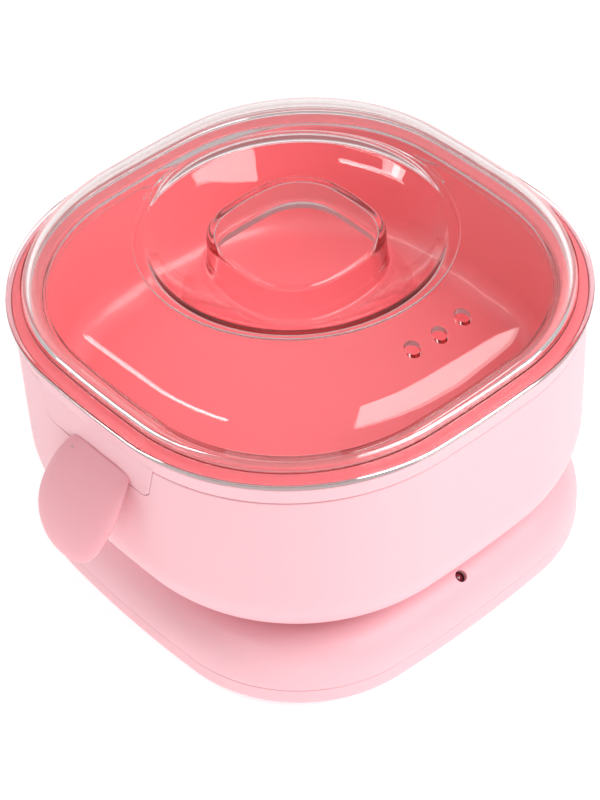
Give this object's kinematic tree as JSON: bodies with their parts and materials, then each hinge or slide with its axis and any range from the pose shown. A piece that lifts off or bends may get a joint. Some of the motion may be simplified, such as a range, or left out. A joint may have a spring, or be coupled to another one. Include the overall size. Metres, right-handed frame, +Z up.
{
  "type": "wax warmer pot",
  "caption": "Rounded square wax warmer: a pink base, a heated outer bowl, a lift-out pot with a side handle and a clear domed lid with a sunken knob.",
  "frame": {"origin": "On the surface the warmer stands on, under the common axis of the base, the outer bowl, the pot and the lid. The handle on -X makes the bounding box reach further to that side, so the origin isn't the box's middle.", "axes": "+Z up, the way the lid and the pot lift off. -Y is the front, with the indicator. -X carries the handle. +Y is the rear, with the mains inlet."},
  "size_m": [0.187, 0.17, 0.12],
  "materials": {
    "shell_pink": "soft matt pale pink moulding",
    "handle_pink": "soft matt rose pink moulding",
    "pot_coral": "satin coral non-stick coating on sheet metal",
    "lid_clear": "clear glossy moulding",
    "foot_rubber": "light grey matt rubber",
    "zinc_steel": "zinc plated screws and nuts",
    "well_aluminium": "drawn bare sheet",
    "cast_aluminium": "as cast",
    "element_steel": "annealed tube",
    "shield_steel": "galvanised sheet",
    "glass_felt": "off-white mineral felt",
    "thermostat_black": "moulded phenolic",
    "fuse_white": "glazed ceramic sleeve",
    "board_green": "solder-masked laminate",
    "component_black": "moulded cases",
    "terminal_blue": "moulded terminal",
    "led_red": "dark red tinted lens",
    "inlet_black": "black moulding",
    "pin_brass": "nickel-coloured brass pins",
    "wire_silicone": "white silicone sleeve"
  },
  "bodies": {
    "warmer": {"base_bottom": "shell_pink", "base_top": "shell_pink", "rubber_feet": "foot_rubber", "base_screws": "zinc_steel", "neck_collar": "shell_pink", "housing_bowl": "shell_pink", "neck_screws": "zinc_steel", "heater_well": "well_aluminium", "heater_plate": "cast_aluminium", "heating_element": "element_steel", "stud_nuts": "zinc_steel", "heat_shield": "shield_steel", "insulation_felt": "glass_felt", "shield_screws": "zinc_steel", "thermostat": "thermostat_black", "thermal_fuse": "fuse_white", "control_board": "board_green", "board_screws": "zinc_steel", "board_components": "component_black", "terminal_block": "terminal_blue", "indicator_led": "led_red", "led_holder": "inlet_black", "power_inlet": "inlet_black", "inlet_pins": "pin_brass", "inlet_bracket": "shield_steel", "mains_leads": "wire_silicone", "heater_leads": "wire_silicone"},
    "pot": {"inner_pot": "pot_coral", "pot_ring": "shell_pink", "handle_grip": "handle_pink", "handle_back": "handle_pink", "handle_screws": "zinc_steel"},
    "lid": {"lid": "lid_clear"}
  },
  "joints": [
    {"name": "pot_lift", "type": "slide", "parent": "warmer", "child": "pot", "axis": [0, 0, 1], "range_m": [0, 0.05]},
    {"name": "lid_lift", "type": "slide", "parent": "pot", "child": "lid", "axis": [0, 0, 1], "range_m": [0, 0.03]}
  ]
}
